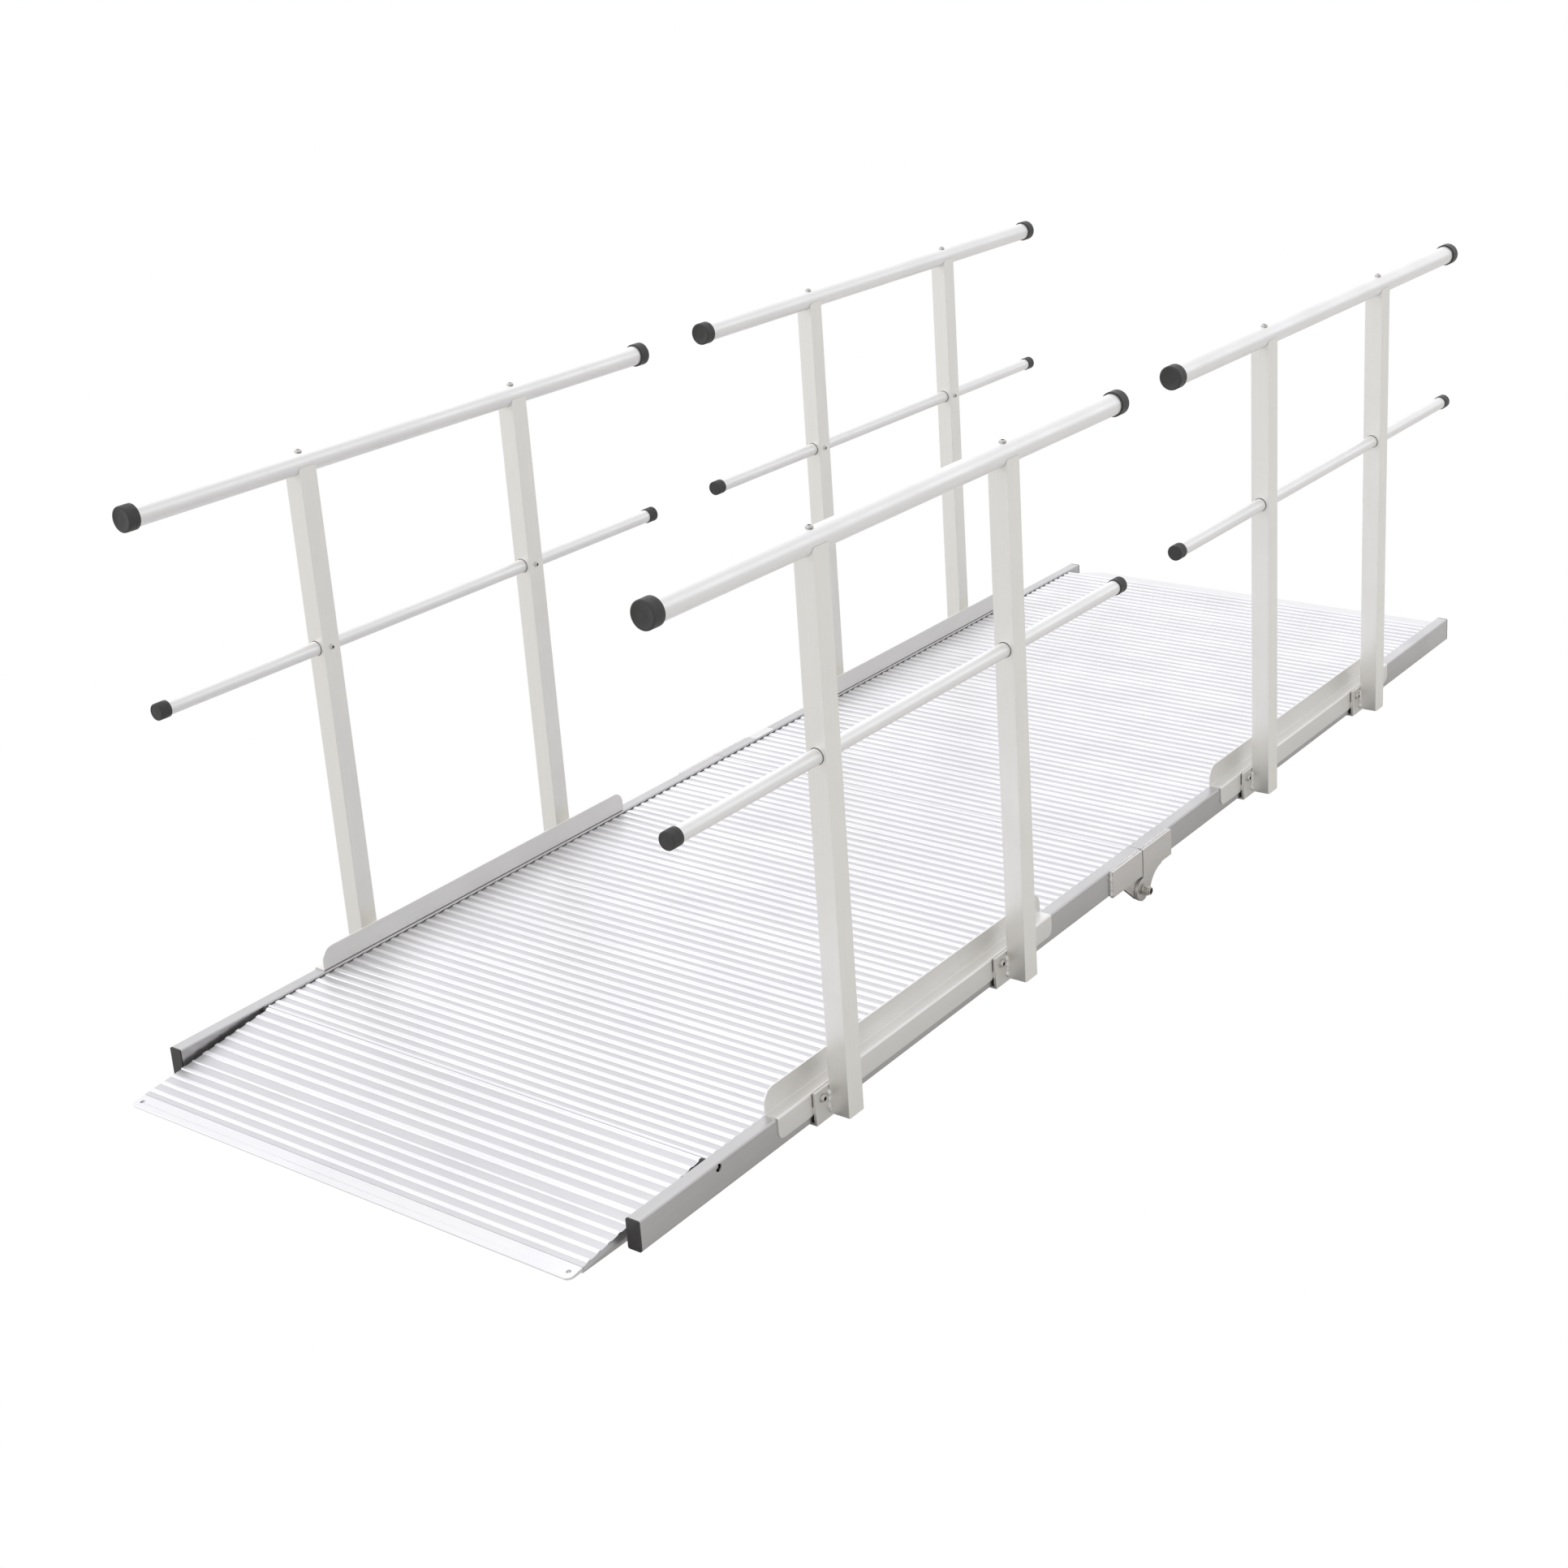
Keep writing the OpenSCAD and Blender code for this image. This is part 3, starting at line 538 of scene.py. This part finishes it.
def flap_front():
    """The flap's second plank, thinner towards the nosing."""
    y0 = JOIN - SQUEEZE - NOSING_START
    y1 = SQUEEZE - JOIN - FLAP_SPLIT
    outline = [(y0, FLAP_FACE - FLAP_THIN, IN_VALLEY), (y0, FLAP_FACE, IN_VALLEY)]
    for k in reversed(range(FRONT_RIB_COUNT)):
        outline += flap_rib(FRONT_RIB_START + k * FRONT_RIB_STEP, FRONT_RIB_W)
    outline += flap_rib(NARROW_RIB_AT, NARROW_RIB_W)
    outline += rib_rise(-FLAP_SPLIT, FLAP_JOINT_RIB_W, FLAP_RIB_H, FLAP_FACE)
    outline += [(y1 - CHAMFER, FLAP_TOP, PAINTED_HIGHLIGHT), (y1, FLAP_TOP - CHAMFER, IN_VALLEY)]
    outline.append((y1, FLAP_UNDER, IN_VALLEY))
    extrusion("flap_deck_front", outline, flap_hi.x - flap_lo.x, "front_flap", "flap_front_plank", flap_place)


flap_rear()
flap_front()


# ---------------------------------------------------------------- round rails

TUBE_STEPS = 96
MOUTH_EDGE = 0.3 * MM
TOP_RAIL_WALL = 2 * MM
LOWER_RAIL_WALL = 1.5 * MM


def round_tube(bm, x, z, y0, y1, radius, wall):
    """A tube along Y with softened mouths."""
    inner = radius - wall
    length = y1 - y0
    profile = [
        (inner, 0), (radius - MOUTH_EDGE, 0), (radius, MOUTH_EDGE),
        (radius, length - MOUTH_EDGE), (radius - MOUTH_EDGE, length), (inner, length), (inner, 0),
    ]
    revolve(bm, profile, at(Vector((x, y0, z)), Y), TUBE_STEPS)


def handrails(panel):
    """The drawn round rails. Their screws' holes lie under the screws' heads, so they are left out."""
    body = panel + "_panel"
    for side in ("left", "right"):
        node = f"{panel}_top_rail_{side}"
        low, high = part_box(node)
        bm = bmesh.new()
        x, z = (low.x + high.x) / 2, (low.z + high.z) / 2
        round_tube(bm, x, z, low.y, high.y, (high.z - low.z) / 2, TOP_RAIL_WALL)
        piece(f"{panel}_handrail_{side}", bm, body, [TUBE], 40, [node])
    node = panel + "_lower_rails"
    low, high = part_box(node)
    radius = (high.z - low.z) / 2
    bm = bmesh.new()
    for sx in SIDES:
        round_tube(bm, sx * (high.x - radius), (low.z + high.z) / 2, low.y, high.y, radius, LOWER_RAIL_WALL)
    piece(panel + "_middle_rails", bm, body, [TUBE], 40, [node])


for panel in PLANKS:
    handrails(panel)


# ---------------------------------------------------------------- tube caps

TOP_CAP_R = 17.5 * MM
LOWER_CAP_R = 11.5 * MM
CAP_L = 17.7 * MM
CAP_PAST = 3 * MM
CAP_LIP = 2.4 * MM
CAP_CHAMFER = 0.5 * MM
CAP_TEETH = 36
CAP_STEPS = 4 * CAP_TEETH
CAP_ROUND = 1.6 * MM
GRIP_DEPTH = 0.35 * MM
PLAIN_BAND = 0.34 * CAP_L
HAIR = 0.01 * MM
STEP = 0.1 * MM


def cap(bm, mouth, out, radius):
    """A push-on cap with axial grips past a plain band, its closed end towards out."""
    shoulder = CAP_L - CAP_ROUND

    def grips(i, r, h):
        if r < radius - HAIR or h < PLAIN_BAND or h > shoulder or i % 4 < 2:
            return r
        return r - GRIP_DEPTH

    profile = [(radius - CAP_LIP, 0), (radius - CAP_CHAMFER, 0), (radius, CAP_CHAMFER)]
    profile += [(radius, PLAIN_BAND - STEP), (radius, PLAIN_BAND + STEP), (radius, shoulder - STEP)]
    for a in quarter(4):
        profile.append((radius - CAP_ROUND * (1 - math.cos(a)) - HAIR, shoulder + CAP_ROUND * math.sin(a)))
    # the end face is shallowly dished round a small pip
    profile += [(0.8 * radius, CAP_L), (0.77 * radius, CAP_L - 3 * STEP), (0.25 * radius, CAP_L - 3 * STEP)]
    profile += [(0.1 * radius, CAP_L - STEP), (0, CAP_L)]
    revolve(bm, profile, at(mouth, out), CAP_STEPS, grips)


def caps(panel):
    bm = bmesh.new()
    top = corners(panel + "_top_rail_left", panel + "_top_rail_right")
    lower = corners(panel + "_lower_rails")
    for sx in SIDES:
        for radius, (low, high) in ((TOP_CAP_R, top), (LOWER_CAP_R, lower)):
            x = sx * (high.x - (high.z - low.z) / 2)
            z = (low.z + high.z) / 2
            for y, out in ((low.y - CAP_PAST, -1), (high.y + CAP_PAST, 1)):
                cap(bm, Vector((x, y - out * CAP_L, z)), Y * out, radius)
    return piece(panel + "_grip_caps", bm, panel + "_panel", [BLACK], 35,
                 [panel + "_tube_caps"])


for panel in PLANKS:
    caps(panel)


# ---------------------------------------------------------------- bolts and screws

POST_HALF = 15 * MM
SCREW_STEPS = 48
SCREW_EDGE = 0.2 * MM
SIDE_SCREW_GAP = 0.05 * MM
# a screw head's flat middle, as a share of its radius, and its dome's rise, as a share of its height
FLAT = 0.62
DOME = 0.75
# depth of the point in the socket's floor, as a share of the depth of its walls
POINT = 1.15

# washer and head are (radius, height), socket is half the width over the flats
CLAMP_BOLT = {
    "shank": 3 * MM, "length": 9.8 * MM, "washer": (6.2 * MM, 1.2 * MM), "head": (5 * MM, 3.3 * MM),
    "socket": 2.4 * MM, "depth": 2.4 * MM,
}
TOP_SCREW = {
    "shank": 2.5 * MM, "length": 50 * MM, "washer": (0, 0), "head": (5 * MM, 3.2 * MM),
    "socket": 2.1 * MM, "depth": 1.9 * MM,
}
SIDE_SCREW = {
    "shank": 2 * MM, "length": 9 * MM, "washer": (0, 0), "head": (3.8 * MM, 2.4 * MM),
    "socket": 1.6 * MM, "depth": 1.4 * MM,
}


def socket_screw(bm, place, shank, length, washer, head, socket, depth):
    """A round-headed screw with a hexagon socket. Its head rises from the origin along local Z,
    on top of the washer if it has one."""
    washer_r, washer_h = washer
    head_r, head_h = head
    top = washer_h + head_h
    profile = [(0, -length), (shank - SCREW_EDGE, -length), (shank, SCREW_EDGE - length), (shank, 0)]
    if washer_h > 0:
        profile += [(washer_r, 0), (washer_r, washer_h - SCREW_EDGE), (washer_r - SCREW_EDGE, washer_h)]
    profile.append((head_r, washer_h))
    for a in quarter(6):
        r = head_r * (FLAT + (1 - FLAT) * math.cos(a))
        profile.append((r, top - head_h * DOME * (1 - math.sin(a))))
    shade_start = len(profile)
    # the socket's faces from here on take the near-black material, painted shade
    profile += [(socket + SCREW_EDGE, top), (socket, top - SCREW_EDGE)]
    profile += [(socket, top - depth), (0, top - depth * POINT)]

    def socket_walls(i, r, h):
        return r if r > socket + SCREW_EDGE / 2 else hexagon_radius(i, SCREW_STEPS, r)

    revolve(bm, profile, place, SCREW_STEPS, socket_walls, shade_start)


def post_places(panel):
    """How far the posts' axes are from the ramp's middle, and where the two of a side are along it."""
    low, high = corners(panel + "_posts")
    return high.x - POST_HALF, (low.y + POST_HALF, high.y - POST_HALF)


def clamp_bolts(panel):
    """Bolts of the clamp brackets, on either side of each post."""
    _, post_ys = post_places(panel)
    low, high = corners(panel + "_clamp_bolts")
    washer_r, washer_h = CLAMP_BOLT["washer"]
    off = post_ys[0] - washer_r - low.y
    seat = high.x - washer_h - CLAMP_BOLT["head"][1]
    bm = bmesh.new()
    for sx in SIDES:
        for y in post_ys:
            for dy in (-off, off):
                place = at(Vector((sx * seat, y + dy, (low.z + high.z) / 2)), X * sx)
                socket_screw(bm, place, **CLAMP_BOLT)
    piece(panel + "_socket_bolts", bm, panel + "_panel", [STEEL, SOCKET_SHADE], 30,
          [panel + "_clamp_bolts"])


def tube_screws(panel):
    """At each post, one screw down through the top rail and one sideways into the lower rail."""
    post_x, post_ys = post_places(panel)
    _, high = corners(panel + "_tube_screws")
    rail_low, rail_high = corners(panel + "_lower_rails")
    seat_z = high.z - TOP_SCREW["head"][1]
    seat_x = post_x - POST_HALF - SIDE_SCREW_GAP
    bm = bmesh.new()
    for sx in SIDES:
        for y in post_ys:
            socket_screw(bm, at(Vector((sx * post_x, y, seat_z)), Z, Y), **TOP_SCREW)
            place = at(Vector((sx * seat_x, y, (rail_low.z + rail_high.z) / 2)), X * -sx)
            socket_screw(bm, place, **SIDE_SCREW)
    piece(panel + "_socket_screws", bm, panel + "_panel", [STEEL, SOCKET_SHADE], 30,
          [panel + "_tube_screws"])


NUT_H = 8.5 * MM
NUT_FLATS = 6.5 * MM
NUT_HEXAGON_L = 6.2 * MM
NUT_COLLAR_R = 6.2 * MM
NUT_BORE_R = 4.05 * MM
NUT_ROUND = 0.5 * MM
NUT_MOUTH = 0.4 * MM
NUT_CHAMFER = 0.2 * MM
NUT_CHAMFER_H = 0.3 * MM
# how far the collar's rounded end draws in, as a share of NUT_ROUND
NUT_DRAW = 0.6


def lock_nuts():
    """Hexagon nuts with a round locking collar and painted shade in the bore."""
    _, high = corners("pivot_nuts")
    profile = [
        (NUT_BORE_R, 0), (NUT_FLATS - NUT_CHAMFER, 0), (NUT_FLATS, NUT_CHAMFER_H),
        (NUT_FLATS, NUT_HEXAGON_L - NUT_ROUND), (NUT_FLATS - NUT_ROUND, NUT_HEXAGON_L),
        (NUT_COLLAR_R - NUT_ROUND, NUT_HEXAGON_L),
    ]
    for a in quarter(4):
        r = NUT_COLLAR_R - NUT_ROUND * (1 + NUT_DRAW * (1 - math.cos(a)))
        profile.append((r, NUT_H - NUT_ROUND * (1 - math.sin(a))))
    # the mouth and the bore take the near-black material, painted shade
    shade_start = len(profile)
    profile += [(NUT_BORE_R + NUT_MOUTH, NUT_H), (NUT_BORE_R, NUT_H - NUT_MOUTH), (NUT_BORE_R, 0)]

    def flats(i, r, h):
        return r if r < NUT_FLATS - HAIR else hexagon_radius(i, SCREW_STEPS, r)

    bm = bmesh.new()
    for sx in SIDES:
        place = at(Vector((sx * (high.x - NUT_H), pivot.y, pivot.z)), X * sx)
        revolve(bm, profile, place, SCREW_STEPS, flats, shade_start)
    piece("pivot_lock_nuts", bm, "front_panel", [STEEL, SOCKET_SHADE], 30, ["pivot_nuts"])


for panel in PLANKS:
    clamp_bolts(panel)
    tube_screws(panel)
lock_nuts()


# ---------------------------------------------------------------- welds

BEAD_STEP = 0.45 * MM
BEAD_SIDES = 12
RIPPLE_PITCH = 1.9 * MM
# noise scales, in cells per metre
WANDER_SCALE = 160
LUMP_SCALE = 420
# how much each changes the radius, and how far the centre strays, as shares of the radius
RIPPLE, WANDER, LUMP, STRAY = 0.015, 0.16, 0.06, 0.18
# a bead's taper: the square of its radius at the very end, and the length over which that grows
# by one, both as shares of the full radius
BLUNT = 0.1
TAPER = 1.5


def bead(bm, start, end, radius, seed):
    """A weld bead: faint ripples, lumps and a slightly wandering centre, closed and rounded at both
    ends. seed sets where the noise is read, so the same bead comes out each time."""
    along = end - start
    length = along.length
    place = at(start, along)
    count = max(6, int(length / BEAD_STEP))
    rings = []
    for k in range(count + 1):
        s = k / count * length
        wander = noise.noise(Vector((s * WANDER_SCALE, seed, 0)))
        lumps = noise.noise(Vector((s * LUMP_SCALE, seed, 4)))
        sideways = noise.noise(Vector((s * WANDER_SCALE, seed, 9)))
        ripple = math.sin(2 * math.pi * (s / RIPPLE_PITCH + wander))
        taper = min(1.0, *(math.sqrt(BLUNT + rest / (TAPER * radius)) for rest in (s, length - s)))
        r = radius * (1 + RIPPLE * ripple) * taper * (1 + WANDER * wander + LUMP * lumps)
        centre = Vector((wander, sideways, 0)) * radius * STRAY
        ring = []
        for i in range(BEAD_SIDES):
            a = 2 * math.pi * i / BEAD_SIDES
            ring.append(bm.verts.new(place @ (centre + Vector((r * math.cos(a), r * math.sin(a), s)))))
        rings.append(ring)
    for a, b in zip(rings, rings[1:]):
        bridge(bm, a, b)
    bm.faces.new(rings[0][::-1])
    bm.faces.new(rings[-1])


POST_BEAD_R = 3.5 * MM
TOP_BEAD_R = 1.7 * MM
END_BEAD_R = 2.9 * MM
LUG_BEAD_R = 2.2 * MM
# how far a bead stops short of the end of what it joins
SHORT = 1 * MM
BRACKET_SHORT = 6 * MM
LUG_SHORT = 6 * MM
PLATE_SHORT = 1.5 * MM
# height of a hinge plate, and where the rear one starts and ends, from the pivot
PLATE_H = 41 * MM
ARM_START = 2.5 * MM
ARM_END = 88 * MM
# where the lug's bead starts, from the front plate's free end
LUG_START = 36 * MM
# how far the beads' centres are from the rail's outer side, and from the lug's
TOP_BEAD_IN = 0.5 * MM
END_BEAD_OUT = 1.5 * MM
LUG_BEAD_IN = 6 * MM


def post_welds(panel):
    """Upright beads where the brackets meet the sides of the posts."""
    low, high = corners(panel + "_posts")
    _, bracket_high = corners(panel + "_brackets")
    width = 2 * POST_HALF
    inner = high.x - width
    bm = bmesh.new()
    for sx in SIDES:
        for y0 in (low.y, high.y - width):
            for y in (y0, y0 + width):
                start = Vector((sx * inner, y, low.z + SHORT))
                end = Vector((sx * inner, y, bracket_high.z - BRACKET_SHORT))
                bead(bm, start, end, POST_BEAD_R, 3.1 * sx + y)
    return piece(panel + "_post_welds", bm, panel + "_panel", [WELD], 50)


def hinge_welds(panel):
    """Beads along the top and down the free end of each hinge plate, and along the front lugs."""
    low, high = corners("front_hinge_plates" if panel == "front" else "rear_hinge_arms")
    top = high.z
    bottom = top - PLATE_H
    if panel == "front":
        y0, y1 = low.y, high.y - PLATE_SHORT
        free_end = y0
    else:
        y0, y1 = pivot.y + ARM_START, pivot.y + ARM_END
        free_end = y1
    bm = bmesh.new()
    for sx in SIDES:
        x = sx * (rail_hi.x - TOP_BEAD_IN)
        bead(bm, Vector((x, y0, top)), Vector((x, y1, top)), TOP_BEAD_R, 1.7 * sx)
        x = sx * (rail_hi.x + END_BEAD_OUT)
        start, end = Vector((x, free_end, bottom + SHORT)), Vector((x, free_end, top - SHORT))
        bead(bm, start, end, END_BEAD_R, 2.9 * sx)
        if panel == "front":
            _, lug_high = corners("front_hinge_lugs")
            x = sx * (lug_high.x - LUG_BEAD_IN)
            start = Vector((x, low.y + LUG_START, rail_lo.z))
            end = Vector((x, pivot.y - LUG_SHORT, rail_lo.z))
            bead(bm, start, end, LUG_BEAD_R, 4.4 * sx)
    return piece(panel + "_hinge_welds", bm, panel + "_panel", [WELD], 50)


for panel in PLANKS:
    post_welds(panel)
    hinge_welds(panel)


# ---------------------------------------------------------------- blank label

LABEL_W = 18 * MM
LABEL_L = 52 * MM
LABEL_T = 0.25 * MM
LABEL_CORNER = 3 * MM
LABEL_FROM_PIVOT = 114 * MM
RAIL_HALF = 10 * MM
CORNER_STEPS = 6


def label():
    """A blank sticker with round corners on top of the rear panel's left rail."""
    x, y = RAIL_HALF - rail_hi.x, pivot.y + LABEL_FROM_PIVOT
    r = LABEL_CORNER
    outline = []
    for quadrant, (cx, cy) in enumerate(((1, 1), (-1, 1), (-1, -1), (1, -1))):
        for turn in quarter(CORNER_STEPS):
            a = math.pi / 2 * quadrant + turn
            px = x + cx * (LABEL_W / 2 - r) + r * math.cos(a)
            py = y + cy * (LABEL_L / 2 - r) + r * math.sin(a)
            outline.append((px, py))
    bm = bmesh.new()
    low, high = [[bm.verts.new((*p, rail_hi.z + dz)) for p in outline] for dz in (0, LABEL_T)]
    bm.faces.new(high)
    bm.faces.new(low[::-1])
    bridge(bm, low, high)
    return piece("blank_rail_label", bm, "rear_panel", [LABEL], 30)


label()


# ---------------------------------------------------------------- floor, light, camera

# brightness of the room by height: 0 is straight down, 1 straight up
SKY = ((0.0, 0.9), (0.2, 1.5), (0.3, 1.46), (0.39, 1.24), (0.46, 1.08), (0.56, 1.0), (0.68, 1.05), (1.0, 1.0))
SKY_TINT = (0.985, 0.985, 1.01)
# strength of the light from the right, and how far to the right it is reached
RIGHT_SIDE = 0.68
RIGHT_REACH = 0.55
FLOOR_HALF = 60


def floor():
    """A pale floor that lights the ramp from below. The camera looks through it to the white
    backdrop, so the underside and the folded panel, which swings below it, stay in view."""
    bm = bmesh.new()
    bmesh.ops.create_grid(bm, x_segments=1, y_segments=1, size=FLOOR_HALF)
    mesh = bpy.data.meshes.new("floor")
    bm.to_mesh(mesh)
    bm.free()
    mesh.materials.append(FLOOR)
    obj = bpy.data.objects.new("floor", mesh)
    obj.visible_camera = False
    bpy.context.scene.collection.objects.link(obj)


def world():
    """A soft white room, a little darker on the right. The camera sees it as plain white."""
    room = bpy.data.worlds.new("studio")
    bpy.context.scene.world = room
    room.use_nodes = True
    tree = room.node_tree
    tree.nodes.clear()
    add, link = tree.nodes.new, tree.links.new
    split = add("ShaderNodeSeparateXYZ")
    link(add("ShaderNodeTexCoord").outputs["Generated"], split.inputs[0])

    sky = add("ShaderNodeValToRGB")
    while len(sky.color_ramp.elements) < len(SKY):
        sky.color_ramp.elements.new(0.5)
    for stop, (height, value) in zip(sky.color_ramp.elements, SKY):
        stop.position = height
        stop.color = (*(value * c for c in SKY_TINT), 1)
    link(split.outputs["Z"], sky.inputs["Fac"])

    side = add("ShaderNodeMapRange")
    side.inputs["From Max"].default_value = RIGHT_REACH
    side.inputs["To Min"].default_value = 1.0
    side.inputs["To Max"].default_value = RIGHT_SIDE
    link(split.outputs["X"], side.inputs["Value"])

    light = add("ShaderNodeBackground")
    link(sky.outputs["Color"], light.inputs["Color"])
    link(side.outputs["Result"], light.inputs["Strength"])
    white = add("ShaderNodeBackground")
    white.inputs["Color"].default_value = (1, 1, 1, 1)
    both = add("ShaderNodeMixShader")
    link(add("ShaderNodeLightPath").outputs["Is Camera Ray"], both.inputs["Fac"])
    link(light.outputs[0], both.inputs[1])
    link(white.outputs[0], both.inputs[2])
    link(both.outputs[0], add("ShaderNodeOutputWorld").inputs[0])


def softbox(name, where, target, size, power):
    data = bpy.data.lights.new(name, "AREA")
    data.shape = "RECTANGLE"
    data.size, data.size_y = size
    data.energy = power
    obj = bpy.data.objects.new(name, data)
    obj.location = where
    obj.rotation_mode = "QUATERNION"
    obj.rotation_quaternion = (Vector(target) - Vector(where)).to_track_quat("-Z", "Y")
    bpy.context.scene.collection.objects.link(obj)


def camera():
    data = bpy.data.cameras.new("camera")
    data.sensor_width = 36
    data.lens = 54.67
    data.shift_x, data.shift_y = -0.0309, -0.0949
    data.clip_start, data.clip_end = 0.05, 200
    data.dof.use_dof = False
    obj = bpy.data.objects.new("camera", data)
    obj.location = (2.0005, -2.8307, 1.5532)
    obj.rotation_euler = [math.radians(a) for a in (71.0389, 3.4112, 35.8897)]
    bpy.context.scene.collection.objects.link(obj)
    bpy.context.scene.camera = obj


floor()
world()
softbox("overhead", (-1.2, 0.8, 3.6), (0, 0, 0.2), (3.5, 3.5), 12)
softbox("left_front", (-3.2, -3.0, 2.2), (0, -0.3, 0.3), (2.5, 2.0), 8)
softbox("right_back", (3.0, 2.6, 2.4), (0, 0.3, 0.3), (2.5, 2.0), 5)
camera()
view = bpy.context.scene.view_settings
view.view_transform = "Standard"
view.look = "None"
view.exposure = 0.0
view.gamma = 1.0
